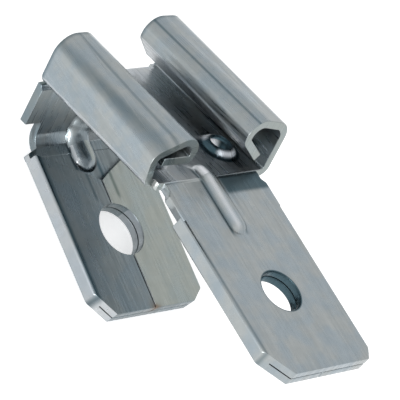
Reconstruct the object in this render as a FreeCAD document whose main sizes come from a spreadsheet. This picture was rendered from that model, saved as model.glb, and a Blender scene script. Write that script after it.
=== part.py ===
import FreeCAD, Part
import math
import os

import Sketcher

# Spade terminal adapter: one piece of tinned brass strip, stamped and folded.
# A receptacle with two rolled spring ears grips one blade from the rear.
# Two folded tabs run forward from it, one from its floor and one from a drop behind it.
# The bending is described with the receptacle level: X to the right, Y to the rear, Z up,
# the front bend of the floor on the X axis and the underside of the floor at Z = 0.
# The finished body is then turned to lie on the underside of its lower tab.

# Name, value in millimetres or degrees, meaning
SIZES = (
    ("gauge", 0.4, "thickness of the strip"),
    ("receptacle_width", 7.62, "outside width over the ear walls"),
    ("receptacle_length", 7.67, "front bend to rear face"),
    ("front_bend_angle", 15.0, "fall of the upper tab below the floor"),
    ("lower_tab_angle", 25.0, "fall of the lower tab below the floor"),
    ("lower_tab_drop", 2.99, "floor underside to middle of lower tab at the rear face"),
    ("drop_inset", 0.16, "how much narrower the drop is than the receptacle, each side"),
    ("drop_setback", 0.12, "how far the drop stands behind the ears"),
    ("drop_reach", 2.15, "how far the full width of the drop reaches below the floor"),
    ("front_bend_radius", 0.5, "inside radius of the front bend"),
    ("rear_bend_radius", 0.08, "inside radius of the rear bend"),
    ("lower_bend_radius", 0.6, "inside radius of the bend into the lower tab"),
    ("ear_corner_radius", 0.12, "inside radius where the floor turns up into an ear"),
    ("tab_thickness", 0.8, "thickness of both folded tabs"),
    ("hem_gap", 0.04, "gap between the two layers of a folded tab"),
    ("seam_gap", 0.07, "gap where the two flaps of a tab meet"),
    ("fold_wall", 0.38, "wall of a fold at the long edges of a tab"),
    ("fold_edge_radius", 0.16, "rounding of the pressed folds along a tab"),
    ("neck_flare", 0.25, "length over which a neck widens to its tab"),
    ("upper_tab_width", 6.35, "width of the upper tab"),
    ("upper_neck_width", 5.9, "width of the strip at the front bend"),
    ("upper_neck_length", 0.35, "length of the upper neck"),
    ("upper_fold_start", 1.65, "front bend to the start of the upper flaps"),
    ("upper_tab_length", 9.91, "front bend to the tip of the upper tab"),
    ("upper_hole_radius", 1.03, "radius of the hole in the upper tab"),
    ("upper_hole_setback", 3.96, "tip to the centre of the upper hole"),
    ("upper_left_across", 1.07, "left tip corner of the upper tab, across"),
    ("upper_left_along", 1.35, "left tip corner of the upper tab, along"),
    ("upper_right_across", 0.45, "right tip corner of the upper tab, across"),
    ("upper_right_along", 0.65, "right tip corner of the upper tab, along"),
    ("lower_tab_width", 6.65, "width of the lower tab, folded a little looser"),
    ("lower_neck_width", 5.2, "width of the strip at the bend below the drop"),
    ("lower_neck_length", 0.65, "length of the lower neck"),
    ("lower_fold_start", 0.95, "rear face to the start of the lower flaps"),
    ("lower_tab_length", 9.01, "rear face to the tip of the lower tab"),
    ("lower_tab_shift", 0.07, "how far the lower tab sits right of its hole"),
    ("lower_hole_radius", 1.25, "radius of the hole in the lower tab"),
    ("lower_hole_setback", 3.86, "tip to the centre of the lower hole"),
    ("lower_left_across", 0.83, "left tip corner of the lower tab, across"),
    ("lower_left_along", 1.12, "left tip corner of the lower tab, along"),
    ("lower_right_across", 0.8, "right tip corner of the lower tab, across"),
    ("lower_right_along", 0.6, "right tip corner of the lower tab, along"),
    ("mouth_depth", 1.45, "how far the lower flaps taper back from their start"),
    ("mouth_half_width", 0.63, "half width of the gap at the end of that taper"),
    ("throat_depth", 0.35, "length of the vee that closes into the seam"),
    ("upper_rib_offset", -0.22, "middle of the upper rib, from the middle of the floor"),
    ("upper_rib_width", 1.0, "width of the upper rib"),
    ("upper_rib_height", 0.3, "height of the upper rib"),
    ("upper_rib_back", 0.35, "how far the upper rib runs back on the floor"),
    ("upper_rib_front", 2.45, "how far the upper rib runs forward on its tab"),
    ("lower_rib_offset", 0.0, "middle of the lower rib, from the middle of the floor"),
    ("lower_rib_width", 1.4, "width of the lower rib"),
    ("lower_rib_height", 0.42, "height of the lower rib"),
    ("lower_rib_rise", 0.6, "middle of the lower tab up to the lower rib's rear end"),
    ("lower_rib_front", 1.45, "how far the lower rib runs forward on its tab"),
    ("lower_rib_radius", 1.0, "radius of the lower rib in the bend"),
    ("rib_wall", 0.2, "how much smaller the groove behind a rib is, each side"),
    ("rib_root", 0.15, "how deep a rib starts in the strip"),
    ("stop_offset", 2.1, "stop dimples, from the middle of the floor"),
    ("stop_setback", 1.72, "stop dimples, behind the front bend"),
    ("stop_width", 1.8, "width of a stop dimple"),
    ("stop_height", 0.45, "height of the dome that a stop dimple is part of"),
    ("stop_wall", 0.24, "wall of a stop dimple"),
    ("stop_bore_radius", 0.52, "radius of the hole pierced through a stop dimple"),
    ("relief_radius", 0.24, "relief hole where ear, floor and drop meet"),
    ("left_ear_setback", 0.3, "front end of the left ear, behind the front bend"),
)

# The ears, each at its front and rear end: how far the outer corners of the roll lie inside the
# receptacle's half width, how high they lie, and the inside radius of each corner. The right
# ear is a clean roll. The left one was pressed down and out, most of all at its front end.
EARS = {
    "right_rear": (
        ("shoulder", 0.0, 3.10, 0.50),
        ("crest", 2.39, 3.20, 0.45),
        ("heel", 2.39, 2.05, 0.04),
        ("tip", 1.31, 0.99, 0.0),
    ),
    "right_front": (
        ("shoulder", 0.0, 2.86, 0.55),
        ("crest", 2.69, 3.42, 0.48),
        ("heel", 2.69, 2.03, 0.04),
        ("tip", 1.35, 0.98, 0.0),
    ),
    "left_rear": (
        ("shoulder", -0.04, 2.66, 0.60),
        ("crest", 2.19, 2.60, 0.32),
        ("heel", 2.19, 1.14, 0.08),
        ("tip", 0.76, 1.00, 0.0),
    ),
    "left_front": (
        ("shoulder", -0.37, 1.74, 0.20),
        ("crest", 2.46, 2.85, 0.48),
        ("heel", 2.46, 1.06, 0.04),
        ("tip", 0.51, 1.10, 0.0),
    ),
}

# How far one feature runs into the next, so that they join
OVERLAP = 0.2

doc = FreeCAD.newDocument("spade_terminal_adapter")


def fill_sheet(sheet):
    """Put every size in its own cell, with its name beside it and as the cell's alias."""
    rows = list(SIZES)
    for end, corners in EARS.items():
        for corner, inset, height, radius in corners:
            rows.append((f"{end}_{corner}_inset", inset, "this corner, in from the half width"))
            rows.append((f"{end}_{corner}_height", height, "height of this corner"))
            if radius:
                rows.append((f"{end}_{corner}_radius", radius, "inside radius of this corner"))
    for row, (name, value, meaning) in enumerate(rows, start=1):
        sheet.set(f"A{row}", name)
        sheet.set(f"B{row}", str(value))
        sheet.set(f"C{row}", meaning)
        sheet.setAlias(f"B{row}", name)


sheet = doc.addObject("Spreadsheet::Sheet", "Sizes")
fill_sheet(sheet)
doc.recompute()

body = doc.addObject("PartDesign::Body", "Adapter")
body.Label = "spade_adapter"


def value(expression):
    """The number that an expression in the sheet's names gives."""
    return float(doc.getObject("Sizes").evalExpression(expression))


def bind(target, prop, expression):
    """Tie one property to an expression in the sheet's names, each written as Sizes.name."""
    target.setExpression(prop, expression)


def origin_plane(role):
    """The body's own origin plane with this role."""
    return next(item for item in body.Origin.OriginFeatures if item.Role == role)


def sketch_on(role, name, lean=None, shift_x=None, shift_y=None, shift_z=None):
    """A sketch on an origin plane, turned by lean about X and shifted in the plane's own axes."""
    sketch = body.newObject("Sketcher::SketchObject", name)
    sketch.AttachmentSupport = [(origin_plane(role), "")]
    sketch.MapMode = "FlatFace"
    if lean:
        axis = FreeCAD.Vector(1, 0, 0)
        sketch.AttachmentOffset = FreeCAD.Placement(FreeCAD.Vector(), FreeCAD.Rotation(axis, 1))
        bind(sketch, "AttachmentOffset.Rotation.Angle", lean)
    for letter, shift in (("x", shift_x), ("y", shift_y), ("z", shift_z)):
        if shift:
            bind(sketch, f"AttachmentOffset.Base.{letter}", shift)
    return sketch


def add_polygon(sketch, corners):
    """A closed outline whose corners are pairs of expressions in the sheet's names."""
    points = [FreeCAD.Vector(value(x), value(y), 0) for x, y in corners]
    first = sketch.GeometryCount
    count = len(points)
    for step, start in enumerate(points):
        sketch.addGeometry(Part.LineSegment(start, points[(step + 1) % count]))
    for step in range(count):
        here, following = first + step, first + (step + 1) % count
        sketch.addConstraint(Sketcher.Constraint("Coincident", here, 2, following, 1))
    for step, (point, expressions) in enumerate(zip(points, corners)):
        for kind, number, expression in zip("XY", (point.x, point.y), expressions):
            place = sketch.addConstraint(
                Sketcher.Constraint("Distance" + kind, -1, 1, first + step, 1, number)
            )
            sketch.renameConstraint(place, f"corner_{first + step}_{kind.lower()}")
            bind(sketch, f"Constraints.corner_{first + step}_{kind.lower()}", expression)


def add_circle(sketch, centre_x, centre_y, radius):
    """A circle whose centre and radius are expressions in the sheet's names."""
    middle = FreeCAD.Vector(value(centre_x), value(centre_y), 0)
    circle = sketch.addGeometry(Part.Circle(middle, FreeCAD.Vector(0, 0, 1), value(radius)))
    for name, constraint, expression in (
        ("centre_x", Sketcher.Constraint("DistanceX", -1, 1, circle, 3, middle.x), centre_x),
        ("centre_y", Sketcher.Constraint("DistanceY", -1, 1, circle, 3, middle.y), centre_y),
        ("radius", Sketcher.Constraint("Radius", circle, value(radius)), radius),
    ):
        sketch.renameConstraint(sketch.addConstraint(constraint), name)
        bind(sketch, f"Constraints.{name}", expression)


def strip_edges(corners, radii, thickness):
    """Edges of a bent strip seen on edge.

    The corners run along its outer face, every turn goes the same way, and the radii are the
    inside ones. Each bend is two arcs about one centre, so the thickness stays the same.
    """
    points = [FreeCAD.Vector(x, y, 0) for x, y in corners]
    runs = [(end - start).normalize() for start, end in zip(points, points[1:])]
    side = 1.0 if runs[0].cross(runs[1]).z > 0 else -1.0
    inward = [FreeCAD.Vector(-side * run.y, side * run.x, 0) for run in runs]
    outer, inner = [points[0]], [points[0] + inward[0] * thickness]
    outer_edges, inner_edges = [], []
    for bend, radius in enumerate(radii):
        corner, run, after = points[bend + 1], runs[bend], runs[bend + 1]
        reach = (radius + thickness) * math.tan(run.getAngle(after) / 2)
        entry, leave = corner - run * reach, corner + after * reach
        centre = entry + inward[bend] * (radius + thickness)
        toward = (corner - centre).normalize()
        for edges, trail, size in (
            (outer_edges, outer, radius + thickness),
            (inner_edges, inner, radius),
        ):
            arc_start = centre - inward[bend] * size
            arc_end = centre - inward[bend + 1] * size
            if (arc_start - trail[-1]).Length > 1e-6:
                edges.append(Part.LineSegment(trail[-1], arc_start))
            edges.append(Part.Arc(arc_start, centre + toward * size, arc_end))
            trail.append(arc_end)
    last = points[-1]
    outer_edges.append(Part.LineSegment(outer[-1], last))
    inner_edges.append(Part.LineSegment(inner[-1], last + inward[-1] * thickness))
    ends = [
        Part.LineSegment(last, last + inward[-1] * thickness),
        Part.LineSegment(points[0], points[0] + inward[0] * thickness),
    ]
    return outer_edges + [ends[0]] + inner_edges[::-1] + [ends[1]]


def fix_edges(sketch, edges):
    """Put edges in a sketch and hold them where the sizes put them."""
    for edge in edges:
        sketch.addConstraint(Sketcher.Constraint("Block", sketch.addGeometry(edge)))


def add_strip(sketch, corners, radii, thickness="Sizes.gauge"):
    """Draw a bent strip in a sketch."""
    places = [(value(x), value(y)) for x, y in corners]
    fix_edges(sketch, strip_edges(places, [value(radius) for radius in radii], value(thickness)))


def rounded_run(corners, closed):
    """Edges through corners (x, y, radius), each corner rounded by its own radius."""
    points = [FreeCAD.Vector(x, y, 0) for x, y, _ in corners]
    count = len(points)
    edges, ends = [], []
    for step, (_, _, radius) in enumerate(corners):
        point = points[step]
        if not radius or (not closed and step in (0, count - 1)):
            ends.append((point, point))
            continue
        run_in = (point - points[step - 1]).normalize()
        run_out = (points[(step + 1) % count] - point).normalize()
        turn = run_in.getAngle(run_out)
        entry = point - run_in * radius * math.tan(turn / 2)
        leave = point + run_out * radius * math.tan(turn / 2)
        toward = (run_in - run_out).normalize()
        middle = point - toward * radius * (1 / math.cos(turn / 2) - 1)
        edges.append(Part.Arc(entry, middle, leave))
        ends.append((entry, leave))
    for step in range(count if closed else count - 1):
        edges.append(Part.LineSegment(ends[step][1], ends[(step + 1) % count][0]))
    return edges


def add_rounded(sketch, corners, closed=True):
    """Draw a line through corners given as (x, y, radius) expressions."""
    places = [tuple(value(number) for number in corner) for corner in corners]
    fix_edges(sketch, rounded_run(places, closed))


def add_segment(sketch, width, height, half=False):
    """A circular segment on the sketch's own X axis, rooted a little below it."""
    side, rise = f"({width}) / 2", f"({height})"
    radius = value(f"(({side}) ^ 2 + {rise} ^ 2) / (2 * {rise})")
    reach, top, root = value(side), value(rise), value("Sizes.rib_root")
    centre = FreeCAD.Vector(0, top - radius, 0)
    spread = math.asin(reach / radius)
    start = 0.0 if half else -spread
    shoulder = -0.0 if half else -reach
    middle = (start + spread) / 2
    on_arc = [
        centre + FreeCAD.Vector(math.sin(angle), math.cos(angle), 0) * radius
        for angle in (start, middle, spread)
    ]
    foot_left, foot_right = FreeCAD.Vector(shoulder, -root, 0), FreeCAD.Vector(reach, -root, 0)
    fix_edges(
        sketch,
        [
            Part.Arc(*on_arc),
            Part.LineSegment(on_arc[2], foot_right),
            Part.LineSegment(foot_right, foot_left),
            Part.LineSegment(foot_left, on_arc[0]),
        ],
    )


def pad(sketch, name, length, symmetric=False, reverse=False):
    """Add a sketch's outline as solid over a length."""
    feature = body.newObject("PartDesign::Pad", name)
    feature.Profile = sketch
    feature.Type = "Length"
    feature.SideType = "Symmetric" if symmetric else "One side"
    feature.Reversed = reverse
    bind(feature, "Length", length)
    doc.recompute()
    return feature


def pocket(sketch, name, depth, symmetric=False, reverse=False):
    """Cut a sketch's outline over a depth, and see that material went."""
    before = body.Shape.Volume
    feature = body.newObject("PartDesign::Pocket", name)
    feature.Profile = sketch
    feature.Type = "Length"
    feature.SideType = "Symmetric" if symmetric else "One side"
    feature.Reversed = reverse
    bind(feature, "Length", depth)
    doc.recompute()
    if not feature.Shape.Volume < before:
        raise RuntimeError(f"{name} cut nothing")
    return feature


# Corners of the strip seen from the side, along its upper and rear face
UPPER_LEAN = "Sizes.front_bend_angle"
LOWER_LEAN = "Sizes.lower_tab_angle"
FRONT_BEND = (f"-Sizes.gauge * tan({UPPER_LEAN} / 2)", "Sizes.gauge")
REAR_FACE = "(Sizes.receptacle_length + Sizes.drop_setback)"
REAR_BEND = (REAR_FACE, "Sizes.gauge")
LOWER_BEND = (
    REAR_FACE,
    f"-Sizes.lower_tab_drop + (Sizes.drop_setback * sin({LOWER_LEAN}) - Sizes.gauge)"
    f" / cos({LOWER_LEAN})",
)


def along_upper(distance, rise):
    """Side view of a point on the upper tab: so far from the bend, so high above its middle."""
    return (
        f"-({distance}) * cos({UPPER_LEAN}) - ({rise}) * sin({UPPER_LEAN})",
        f"-({distance}) * sin({UPPER_LEAN}) + ({rise}) * cos({UPPER_LEAN})",
    )


def along_lower(distance, rise):
    """Side view of a point on the lower tab: so far from the rear face, so high above its middle."""
    return (
        f"Sizes.receptacle_length - ({distance}) * cos({LOWER_LEAN}) - ({rise}) * sin({LOWER_LEAN})",
        f"-Sizes.lower_tab_drop - ({distance}) * sin({LOWER_LEAN}) + ({rise}) * cos({LOWER_LEAN})",
    )


# The floor and the bend behind it, at the full width between the ear corners
FLOOR_HALF = "(Sizes.receptacle_width / 2 - Sizes.gauge - Sizes.ear_corner_radius)"
floor = sketch_on("YZ_Plane", "FloorSketch")
add_strip(
    floor,
    [("0", "Sizes.gauge"), REAR_BEND, (REAR_FACE, "-Sizes.drop_reach")],
    ["Sizes.rear_bend_radius"],
)
pad(floor, "Floor", f"2 * {FLOOR_HALF}", symmetric=True)

# The drop behind the floor
drop = sketch_on("XZ_Plane", "DropSketch", shift_z=f"-{REAR_FACE}")
add_polygon(
    drop,
    [
        ("-(Sizes.receptacle_width / 2 - Sizes.drop_inset)", "-Sizes.drop_reach"),
        ("(Sizes.receptacle_width / 2 - Sizes.drop_inset)", "-Sizes.drop_reach"),
        ("(Sizes.receptacle_width / 2 - Sizes.drop_inset)", "-Sizes.rear_bend_radius"),
        ("-(Sizes.receptacle_width / 2 - Sizes.drop_inset)", "-Sizes.rear_bend_radius"),
    ],
)
pad(drop, "Drop", "Sizes.gauge")

# The two narrow necks, bent where a tab leaves the floor and the drop
upper_neck = sketch_on("YZ_Plane", "UpperNeckSketch")
add_strip(
    upper_neck,
    [
        along_upper(f"Sizes.upper_neck_length + {OVERLAP}", "Sizes.gauge"),
        FRONT_BEND,
        (f"{OVERLAP}", "Sizes.gauge"),
    ],
    ["Sizes.front_bend_radius"],
)
pad(upper_neck, "UpperNeck", "Sizes.upper_neck_width", symmetric=True)
lower_neck = sketch_on("YZ_Plane", "LowerNeckSketch")
add_strip(
    lower_neck,
    [
        (REAR_FACE, f"-Sizes.drop_reach + {OVERLAP}"),
        LOWER_BEND,
        along_lower(f"Sizes.lower_neck_length + {OVERLAP}", "-Sizes.gauge"),
    ],
    ["Sizes.lower_bend_radius"],
)
pad(lower_neck, "LowerNeck", "Sizes.lower_neck_width", symmetric=True)


def leaf_outline(width, neck_width, neck_length, end):
    """Plan of a tab's main layer: a neck that flares out to the tab's width."""
    neck = f"{neck_width} / 2"
    half = f"({width} / 2 - Sizes.hem_gap)"
    flare = f"-({neck_length} + Sizes.neck_flare)"
    return [
        (f"-{neck}", f"-{neck_length} + {OVERLAP}"),
        (f"-{neck}", f"-{neck_length}"),
        (f"-{half}", flare),
        (f"-{half}", f"-({end})"),
        (half, f"-({end})"),
        (half, flare),
        (neck, f"-{neck_length}"),
        (neck, f"-{neck_length} + {OVERLAP}"),
    ]


def hem_outline(width, flaps):
    """Section of a folded tab seen from its tip, with its flaps above (1) or below (-1)."""
    half, slit = f"{width} / 2", f"({width} / 2 - Sizes.fold_wall)"
    face, gap = f"{flaps} * Sizes.tab_thickness / 2", f"{flaps} * Sizes.hem_gap / 2"
    seam, edge = "Sizes.seam_gap / 2", "Sizes.fold_edge_radius"
    return [
        (seam, face, "0"),
        (half, face, edge),
        (half, f"-({face})", edge),
        (f"-{half}", f"-({face})", edge),
        (f"-{half}", face, edge),
        (f"-{seam}", face, "0"),
        (f"-{seam}", gap, "0"),
        (f"-{slit}", gap, "0"),
        (f"-{slit}", f"-({gap})", "0"),
        (slit, f"-({gap})", "0"),
        (slit, gap, "0"),
        (seam, gap, "0"),
    ]


def tip_corner(side, width, across, along, length):
    """Triangle that the tip loses at one corner, seen from above, with room outside it."""
    edge, room = f"{side} * {width} / 2", f"{side} * Sizes.gauge"
    slope_out = f"Sizes.gauge * {along} / {across}"
    slope_on = f"Sizes.gauge * {across} / {along}"
    return [
        (f"{edge} - {side} * ({across} + {slope_on})", f"-({length}) - Sizes.gauge"),
        (f"{edge} + {room}", f"-({length}) - Sizes.gauge"),
        (f"{edge} + {room}", f"-({length} - {along}) + {slope_out}"),
    ]


def build_tab(name, flaps, lean, shifts, width, neck, fold_start, length, corners, hole):
    """One folded tab: its main layer, the two flaps folded onto it, its tip corners and hole."""
    shift_x, shift_y, shift_z = shifts
    neck_width, neck_length = neck
    leaf = sketch_on("XY_Plane", f"{name}LeafSketch", lean, *shifts)
    add_polygon(leaf, leaf_outline(width, neck_width, neck_length, f"{fold_start} + {OVERLAP}"))
    pad(leaf, f"{name}Leaf", "Sizes.gauge", reverse=flaps > 0)

    # The section plane's own axes are X, up and forward
    hem = sketch_on(
        "XZ_Plane",
        f"{name}HemSketch",
        lean,
        shift_x,
        f"{shift_z} - {fold_start} * sin({lean})",
        f"-({shift_y}) + {fold_start} * cos({lean})",
    )
    add_rounded(hem, hem_outline(width, flaps))
    pad(hem, f"{name}Hem", f"{length} - {fold_start}")

    tips = sketch_on("XY_Plane", f"{name}TipSketch", lean, *shifts)
    for side, (across, along) in zip((-1, 1), corners):
        add_polygon(tips, tip_corner(side, width, across, along, length))
    pocket(tips, f"{name}Tip", "2 * Sizes.tab_thickness", symmetric=True)

    radius, setback = hole
    bore = sketch_on("XY_Plane", f"{name}HoleSketch", lean, None, shift_y, shift_z)
    add_circle(bore, "0", f"-({length} - {setback})", radius)
    pocket(bore, f"{name}Hole", "2 * Sizes.tab_thickness", symmetric=True)


build_tab(
    "Upper",
    -1,
    UPPER_LEAN,
    ("0", "0", "0"),
    "Sizes.upper_tab_width",
    ("Sizes.upper_neck_width", "Sizes.upper_neck_length"),
    "Sizes.upper_fold_start",
    "Sizes.upper_tab_length",
    (
        ("Sizes.upper_left_across", "Sizes.upper_left_along"),
        ("Sizes.upper_right_across", "Sizes.upper_right_along"),
    ),
    ("Sizes.upper_hole_radius", "Sizes.upper_hole_setback"),
)
LOWER_SHIFTS = ("Sizes.lower_tab_shift", "Sizes.receptacle_length", "-Sizes.lower_tab_drop")
build_tab(
    "Lower",
    1,
    LOWER_LEAN,
    LOWER_SHIFTS,
    "Sizes.lower_tab_width",
    ("Sizes.lower_neck_width", "Sizes.lower_neck_length"),
    "Sizes.lower_fold_start",
    "Sizes.lower_tab_length",
    (
        ("Sizes.lower_left_across", "Sizes.lower_left_along"),
        ("Sizes.lower_right_across", "Sizes.lower_right_along"),
    ),
    ("Sizes.lower_hole_radius", "Sizes.lower_hole_setback"),
)

# The lower flaps taper back towards the seam and leave room for the rib
MOUTH_END = "(Sizes.lower_fold_start + Sizes.mouth_depth)"
mouth = sketch_on("XY_Plane", "MouthSketch", LOWER_LEAN, *LOWER_SHIFTS)
add_polygon(
    mouth,
    [
        ("-Sizes.lower_tab_width / 2 - Sizes.gauge", f"-(Sizes.lower_fold_start - {OVERLAP})"),
        ("-Sizes.lower_tab_width / 2 - Sizes.gauge", "-Sizes.lower_fold_start"),
        ("-Sizes.mouth_half_width", f"-{MOUTH_END}"),
        ("0", f"-({MOUTH_END} + Sizes.throat_depth)"),
        ("Sizes.mouth_half_width", f"-{MOUTH_END}"),
        ("Sizes.lower_tab_width / 2 + Sizes.gauge", "-Sizes.lower_fold_start"),
        ("Sizes.lower_tab_width / 2 + Sizes.gauge", f"-(Sizes.lower_fold_start - {OVERLAP})"),
    ],
)
pocket(mouth, "Mouth", "Sizes.tab_thickness", reverse=True)


def ear_section(side, end, setback):
    """Section of an ear at one end: up from the floor, over, and back down into the roll."""
    section = sketch_on(
        "XZ_Plane", f"{side.title()}{end.title()}Section", shift_z=f"-({setback})"
    )
    sign = 1 if side == "right" else -1
    corners = [
        (f"{sign} * ({FLOOR_HALF} - {OVERLAP})", "0"),
        (f"{sign} * Sizes.receptacle_width / 2", "0"),
    ]
    radii = ["Sizes.ear_corner_radius"]
    for corner, _, _, radius in EARS[f"{side}_{end}"]:
        name = f"Sizes.{side}_{end}_{corner}"
        corners.append(
            (f"{sign} * (Sizes.receptacle_width / 2 - {name}_inset)", f"{name}_height")
        )
        if radius:
            radii.append(f"{name}_radius")
    add_strip(section, corners, radii)
    return section


def build_ear(side, front_setback):
    """One rolled ear, drawn from its rear section to its front section."""
    rear = ear_section(side, "rear", "Sizes.receptacle_length")
    front = ear_section(side, "front", front_setback)
    ear = body.newObject("PartDesign::AdditiveLoft", f"{side.title()}Ear")
    ear.Profile = rear
    ear.Sections = [front]
    ear.Ruled = True
    doc.recompute()


build_ear("right", "0")
build_ear("left", "Sizes.left_ear_setback")

# Small round relief where ear, floor and drop meet, drilled in from each side
for side, x_place in (("Left", "-Sizes.receptacle_width / 2"), ("Right", "Sizes.receptacle_width / 2")):
    relief = sketch_on("YZ_Plane", f"{side}ReliefSketch", shift_z=x_place)
    add_circle(
        relief,
        f"{REAR_FACE} - Sizes.gauge - Sizes.rear_bend_radius",
        "-Sizes.rear_bend_radius / 2",
        "Sizes.relief_radius",
    )
    pocket(relief, f"{side}Relief", "4 * Sizes.gauge", symmetric=True)


def turned_cap(name, lean, place, width, height, cut=False):
    """Round cap on a face: half a circular segment turned about the upright in its middle."""
    across, along, up = place
    sketch = sketch_on("XZ_Plane", f"{name}Sketch", lean, across, up, f"-({along})")
    add_segment(sketch, width, height, half=True)
    kind = "PartDesign::Groove" if cut else "PartDesign::Revolution"
    cap = body.newObject(kind, name)
    cap.Profile = sketch
    cap.ReferenceAxis = (sketch, ["V_Axis"])
    cap.Angle = 360.0
    doc.recompute()


def press_rib(name, offset, corners, radius, leans, width, height, cut=False):
    """One pressed rib or its hollow: a bead round the bend with a round cap at each end."""
    start, bend, end = corners
    start_lean, end_lean = leans
    run = sketch_on("YZ_Plane", f"{name}Run", shift_z=offset)
    add_rounded(run, [(*start, "0"), (*bend, radius), (*end, "0")], closed=False)
    section = sketch_on(
        "XZ_Plane", f"{name}Section", start_lean, offset, start[1], f"-({start[0]})"
    )
    add_segment(section, width, height)
    kind = "PartDesign::SubtractivePipe" if cut else "PartDesign::AdditivePipe"
    bead = body.newObject(kind, f"{name}Bead")
    bead.Profile = section
    bead.Spine = run
    doc.recompute()
    turned_cap(f"{name}Back", start_lean, (offset, *start), width, height, cut)
    turned_cap(f"{name}Front", end_lean, (offset, *end), width, height, cut)


RIB_SIZES = {
    name: (f"Sizes.{name}_rib_width", f"Sizes.{name}_rib_height") for name in ("upper", "lower")
}
HOLLOW_SIZES = {
    name: (f"{width} - 2 * Sizes.rib_wall", f"{height} - Sizes.rib_wall")
    for name, (width, height) in RIB_SIZES.items()
}

# The rib over the front bend, and the groove that it leaves below, as far as the flaps
press_rib(
    "UpperRib",
    "Sizes.upper_rib_offset",
    (
        ("Sizes.upper_rib_back", "Sizes.gauge"),
        FRONT_BEND,
        along_upper("Sizes.upper_rib_front", "Sizes.gauge"),
    ),
    "Sizes.front_bend_radius + Sizes.gauge",
    ("0", UPPER_LEAN),
    *RIB_SIZES["upper"],
)
press_rib(
    "UpperGroove",
    "Sizes.upper_rib_offset",
    (
        ("Sizes.upper_rib_back", "0"),
        ("0", "0"),
        along_upper("Sizes.upper_fold_start - Sizes.upper_rib_width / 2", "0"),
    ),
    "Sizes.front_bend_radius",
    ("0", UPPER_LEAN),
    *HOLLOW_SIZES["upper"],
    cut=True,
)

# The rib inside the lower bend, and the groove that it leaves behind
LOWER_RIB_TOP = "-Sizes.lower_tab_drop + Sizes.lower_rib_rise"
LOWER_INSIDE = (
    f"{REAR_FACE} - Sizes.gauge",
    f"-Sizes.lower_tab_drop - (Sizes.gauge - Sizes.drop_setback) * tan({LOWER_LEAN})",
)
press_rib(
    "LowerRib",
    "Sizes.lower_rib_offset",
    (
        (f"{REAR_FACE} - Sizes.gauge", LOWER_RIB_TOP),
        LOWER_INSIDE,
        along_lower("Sizes.lower_rib_front", "0"),
    ),
    "Sizes.lower_rib_radius",
    ("90", LOWER_LEAN),
    *RIB_SIZES["lower"],
)
press_rib(
    "LowerGroove",
    "Sizes.lower_rib_offset",
    (
        (REAR_FACE, LOWER_RIB_TOP),
        LOWER_BEND,
        along_lower("Sizes.lower_rib_front", "-Sizes.gauge"),
    ),
    "Sizes.lower_bend_radius + Sizes.gauge",
    ("90", LOWER_LEAN),
    *HOLLOW_SIZES["lower"],
    cut=True,
)

# Two stop dimples on the floor, pressed up from below and pierced
for side, sign in (("Left", -1), ("Right", 1)):
    place = (f"{sign} * Sizes.stop_offset", "Sizes.stop_setback", "Sizes.gauge")
    hollow_radius = "(Sizes.stop_width / 2 - Sizes.stop_wall)"
    turned_cap(f"{side}Stop", "0", place, "Sizes.stop_width", "Sizes.stop_height")
    turned_cap(
        f"{side}StopHollow",
        "0",
        place,
        f"2 * {hollow_radius}",
        "Sizes.stop_height - Sizes.stop_wall",
        cut=True,
    )
    below = sketch_on("XY_Plane", f"{side}StopBelowSketch", None, *place)
    add_circle(below, "0", "0", hollow_radius)
    pocket(below, f"{side}StopBelow", "Sizes.gauge")
    bore = sketch_on("XY_Plane", f"{side}StopBoreSketch", None, *place)
    add_circle(bore, "0", "0", "Sizes.stop_bore_radius")
    pocket(bore, f"{side}StopBore", "Sizes.stop_height", reverse=True)

# The body lies on the lower tab, with the hole in that tab over the origin
LOWER_HOLE = "(Sizes.lower_tab_length - Sizes.lower_hole_setback)"
body.Placement = FreeCAD.Placement(
    FreeCAD.Vector(), FreeCAD.Rotation(FreeCAD.Vector(-1, 0, 0), value(LOWER_LEAN))
)
bind(body, "Placement.Rotation.Angle", LOWER_LEAN)
bind(
    body,
    "Placement.Base.y",
    f"{LOWER_HOLE} - Sizes.receptacle_length * cos({LOWER_LEAN})"
    f" + Sizes.lower_tab_drop * sin({LOWER_LEAN})",
)
bind(
    body,
    "Placement.Base.z",
    f"Sizes.tab_thickness / 2 + Sizes.receptacle_length * sin({LOWER_LEAN})"
    f" + Sizes.lower_tab_drop * cos({LOWER_LEAN})",
)
doc.recompute()

failed = [item.Name for item in doc.Objects if {"Invalid", "Error"} & set(item.State)]
if failed:
    raise RuntimeError(f"failed features: {failed}")
shape = body.Shape
if shape.isNull() or not shape.isValid() or len(shape.Solids) != 1:
    raise RuntimeError("the adapter is not one valid solid")
print("volume", round(shape.Volume, 3), "box", shape.BoundBox)

os.makedirs("parts", exist_ok=True)
shape.exportStep(f"parts/{body.Label}.step")
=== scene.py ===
import logging
import math
from dataclasses import dataclass, field
from enum import Enum

import bmesh
import bpy
import numpy as np
from mathutils import Matrix, Vector


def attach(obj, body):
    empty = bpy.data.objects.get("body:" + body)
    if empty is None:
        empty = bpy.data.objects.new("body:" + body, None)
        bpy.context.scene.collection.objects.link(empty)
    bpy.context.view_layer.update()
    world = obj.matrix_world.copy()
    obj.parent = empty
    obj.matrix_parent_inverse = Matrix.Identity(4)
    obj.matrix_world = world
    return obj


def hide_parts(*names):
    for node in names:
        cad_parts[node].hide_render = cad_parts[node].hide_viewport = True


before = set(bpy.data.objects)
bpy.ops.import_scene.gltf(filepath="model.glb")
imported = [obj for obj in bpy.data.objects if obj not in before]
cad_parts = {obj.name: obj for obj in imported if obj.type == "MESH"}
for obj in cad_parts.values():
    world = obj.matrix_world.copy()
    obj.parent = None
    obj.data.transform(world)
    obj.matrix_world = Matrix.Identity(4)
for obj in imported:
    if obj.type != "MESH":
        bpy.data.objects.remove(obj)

# A spade terminal adapter: one strip of tinned brass, stamped, folded and rolled.
# Lengths are in metres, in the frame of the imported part, unless a name ends in _mm or a
# docstring says millimetres.

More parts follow.
